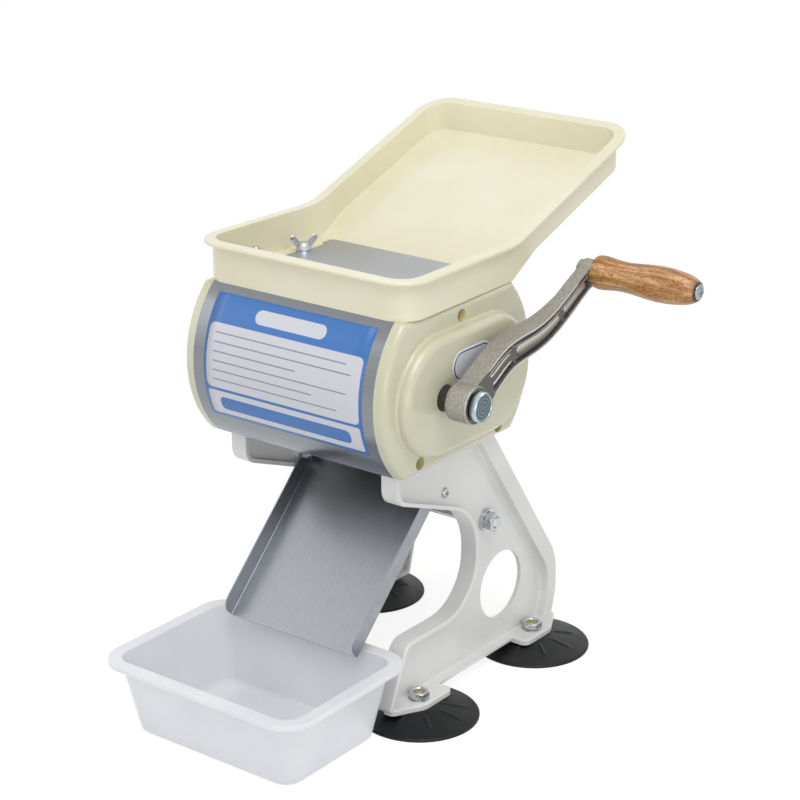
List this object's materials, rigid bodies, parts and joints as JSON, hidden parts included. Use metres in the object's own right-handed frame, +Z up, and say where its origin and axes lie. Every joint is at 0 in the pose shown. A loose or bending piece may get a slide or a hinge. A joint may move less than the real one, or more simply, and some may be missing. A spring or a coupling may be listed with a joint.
{
  "type": "hand crank meat slicer",
  "caption": "Table-top slicer: cranked rows of round blades in a steel and plastic body, feed tray on top, chute and bin in front, cast legs on suction cups.",
  "frame": {"origin": "on the table, midway between the four suction cups", "axes": "+Z up, +X towards the crank, -Y towards the chute and the bin"},
  "size_m": [0.3231, 0.399, 0.3795],
  "materials": {
    "painted_leg": "white gloss paint",
    "zinc": "zinc plated",
    "steel_sheet": "brushed stainless",
    "blade_steel": "ground stainless",
    "cast_aluminium": "sand cast, ribs polished",
    "plate_aluminium": "machined",
    "cream_cover": "cream ABS",
    "cream_tray": "warm cream ABS",
    "clear_bin": "translucent polypropylene",
    "rubber": "black rubber",
    "black_plastic": "black nylon",
    "white_plastic": "white food-grade plastic",
    "bronze": "sintered bronze",
    "wood": "oiled beech"
  },
  "bodies": {
    "frame": {"right_leg": "painted_leg", "left_leg": "painted_leg", "leg_bolts": "zinc", "tie_rod": "zinc", "tie_sleeve": "zinc", "tie_rod_washers": "zinc", "tie_rod_nuts": "zinc", "right_end_plate": "plate_aluminium", "left_end_plate": "plate_aluminium", "front_shell": "steel_sheet", "rear_shell": "steel_sheet", "right_cover": "cream_cover", "left_cover": "cream_cover", "cover_screws": "zinc", "shaft_bushes": "bronze", "front_comb": "white_plastic", "rear_comb": "white_plastic", "comb_screws": "zinc", "chute": "steel_sheet", "chute_screws": "zinc", "chute_washers": "zinc", "chute_nuts": "zinc", "tray": "cream_tray", "tray_studs": "zinc", "tray_nuts": "zinc", "cup_studs": "zinc", "cup_washers": "zinc", "cup_nuts": "zinc", "front_left_cup": "rubber", "rear_left_cup": "rubber", "front_right_cup": "rubber", "rear_right_cup": "rubber"},
    "crank": {"crank_shaft": "blade_steel", "front_blades": "blade_steel", "front_spacers": "plate_aluminium", "crank_shaft_ring": "zinc", "drive_gear": "blade_steel", "hub_collar": "black_plastic", "crank_arm": "cast_aluminium", "crank_screw": "zinc", "handle_spindle": "zinc", "handle_nut": "zinc"},
    "rear_roller": {"rear_shaft": "blade_steel", "rear_blades": "blade_steel", "rear_spacers": "plate_aluminium", "rear_shaft_ring": "zinc", "driven_gear": "blade_steel", "gear_screw": "zinc"},
    "grip": {"wooden_grip": "wood"},
    "feed_slide": {"feed_plate": "steel_sheet"},
    "left_wing": {"left_wing_nut": "zinc"},
    "right_wing": {"right_wing_nut": "zinc"},
    "bin": {"catch_bin": "clear_bin"}
  },
  "joints": [
    {"name": "crank_turn", "type": "hinge", "parent": "frame", "child": "crank", "pos_m": [0, -0.069, 0.24], "axis": [1, 0, 0], "continuous": true},
    {"name": "rear_turn", "type": "hinge", "parent": "frame", "child": "rear_roller", "pos_m": [0, -0.009, 0.24], "axis": [1, 0, 0], "continuous": true},
    {"name": "grip_spin", "type": "hinge", "parent": "crank", "child": "grip", "pos_m": [0.16, 0.078, 0.297], "axis": [1, 0, 0], "continuous": true},
    {"name": "feed_plate_slide", "type": "slide", "parent": "frame", "child": "feed_slide", "axis": [0, -1, 0], "range_m": [0, 0.02]},
    {"name": "left_wing_turn", "type": "hinge", "parent": "frame", "child": "left_wing", "pos_m": [-0.0705, -0.013, 0.3007], "axis": [0, 0, 1], "range_deg": [0, 720]},
    {"name": "right_wing_turn", "type": "hinge", "parent": "frame", "child": "right_wing", "pos_m": [0.0705, -0.013, 0.3007], "axis": [0, 0, 1], "range_deg": [0, 720]},
    {"name": "bin_slide", "type": "slide", "parent": "frame", "child": "bin", "axis": [0, -1, 0], "range_m": [0, 0.15]}
  ],
  "couplings": [
    {"joint": "rear_turn", "follows": "crank_turn", "ratio": -1}
  ]
}
